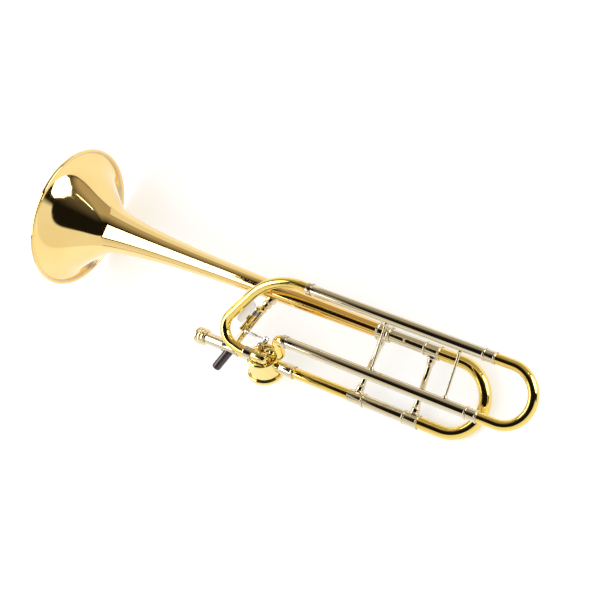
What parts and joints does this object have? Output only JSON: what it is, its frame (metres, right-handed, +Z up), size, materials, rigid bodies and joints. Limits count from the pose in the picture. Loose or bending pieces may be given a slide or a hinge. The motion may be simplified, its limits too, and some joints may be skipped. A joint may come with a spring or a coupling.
{
  "type": "tenor trombone bell section",
  "caption": "Bell section of a slide trombone with an open-wrap rotary-valve loop: flared bell, slanted braces, tuning slides, receiver with lock nut, valve, thumb lever and linkage.",
  "frame": {"origin": "middle of the overall box in X and Y, at the table that the bell section lies on, z = 0", "axes": "+X along the tubes from the bell's rim to the tuning bows, +Y from the receiver's tube to the bell's stem, +Z up from the table"},
  "size_m": [0.8372, 0.246, 0.2139],
  "materials": {
    "lacquered_brass": "polished, clear lacquer",
    "nickel_silver": "polished nickel silver",
    "polished_steel": "polished",
    "spring_steel": "drawn wire",
    "black_hand_rest": "gloss black",
    "bumper_cork": "matt"
  },
  "bodies": {
    "horn": {"bell": "lacquered_brass", "bell_rim_wire": "lacquered_brass", "f_brace_back": "nickel_silver", "f_brace_front": "nickel_silver", "f_crook_ferrule": "nickel_silver", "f_inlet_pipe": "lacquered_brass", "f_large_crook": "lacquered_brass", "f_lower_joint_ring": "nickel_silver", "f_lower_sleeve": "nickel_silver", "f_lower_sleeve_ring": "nickel_silver", "f_return_crook": "lacquered_brass", "f_stay": "nickel_silver", "f_upper_joint_ring": "nickel_silver", "f_upper_sleeve": "nickel_silver", "f_upper_sleeve_ring": "nickel_silver", "gooseneck": "lacquered_brass", "gooseneck_end_ferrule": "nickel_silver", "hand_rest": "black_hand_rest", "lever_ear_lower": "lacquered_brass", "lever_ear_upper": "lacquered_brass", "lever_pivot_rod": "polished_steel", "lever_spring": "spring_steel", "main_brace": "nickel_silver", "main_lower_sleeve": "nickel_silver", "main_lower_sleeve_ring": "nickel_silver", "main_upper_sleeve": "nickel_silver", "main_upper_sleeve_ring": "nickel_silver", "neckpipe": "lacquered_brass", "rear_brace": "nickel_silver", "slide_receiver": "nickel_silver", "stem_collar": "nickel_silver", "stem_patch": "nickel_silver", "stop_bumper_pressed": "bumper_cork", "stop_bumper_rest": "bumper_cork", "stop_plate": "lacquered_brass", "valve_bearing_plate": "lacquered_brass", "valve_cap": "lacquered_brass", "valve_casing": "lacquered_brass", "valve_outlet_ferrule": "nickel_silver"},
    "lock_nut": {"slide_lock_nut": "nickel_silver"},
    "main_slide": {"main_bow_ferrule_lower": "nickel_silver", "main_bow_ferrule_upper": "nickel_silver", "main_inner_leg_lower": "nickel_silver", "main_inner_leg_upper": "nickel_silver", "main_slide_brace": "nickel_silver", "main_tuning_bow": "lacquered_brass"},
    "f_slide": {"f_bow_ferrule_lower": "nickel_silver", "f_bow_ferrule_upper": "nickel_silver", "f_inner_leg_lower": "nickel_silver", "f_inner_leg_upper": "nickel_silver", "f_tuning_bow": "lacquered_brass"},
    "rotor": {"stop_arm": "lacquered_brass", "stop_arm_screw": "polished_steel", "valve_rotor": "lacquered_brass"},
    "lever": {"thumb_lever": "lacquered_brass", "thumb_plate": "nickel_silver"},
    "link": {"linkage_rod": "polished_steel"}
  },
  "joints": [
    {"name": "main_tuning_slide", "type": "slide", "parent": "horn", "child": "main_slide", "axis": [0.9924, 0, -0.1232], "range_m": [0, 0.045]},
    {"name": "f_tuning_slide", "type": "slide", "parent": "horn", "child": "f_slide", "axis": [0.9924, 0, -0.1232], "range_m": [0, 0.11]},
    {"name": "lock_nut_turn", "type": "hinge", "parent": "horn", "child": "lock_nut", "pos_m": [-0.13916, -0.0841, 0.06314], "axis": [0.9924, 0, -0.1232], "continuous": true},
    {"name": "thumb_lever_hinge", "type": "hinge", "parent": "horn", "child": "lever", "pos_m": [-0.05919, -0.04709, 0.07001], "axis": [-0.424, -0.9044, -0.048], "range_deg": [0, 45], "stiffness_Nm_per_rad": 0.06, "springref_deg": -20.05},
    {"name": "rotor_turn", "type": "hinge", "parent": "horn", "child": "rotor", "pos_m": [-0.02007, -0.0841, 0.04836], "axis": [0.0977, 0.6088, 0.7873], "range_deg": [0, 60]},
    {"name": "link_swing", "type": "hinge", "parent": "lever", "child": "link", "pos_m": [-0.04596, -0.05369, 0.0776], "axis": [0.0405, 0.9885, 0.1458], "range_deg": [0, 54.37]}
  ],
  "couplings": [
    {"joint": "rotor_turn", "follows": "thumb_lever_hinge", "ratio": 1.3333},
    {"joint": "link_swing", "follows": "thumb_lever_hinge", "ratio": 1.2079}
  ]
}
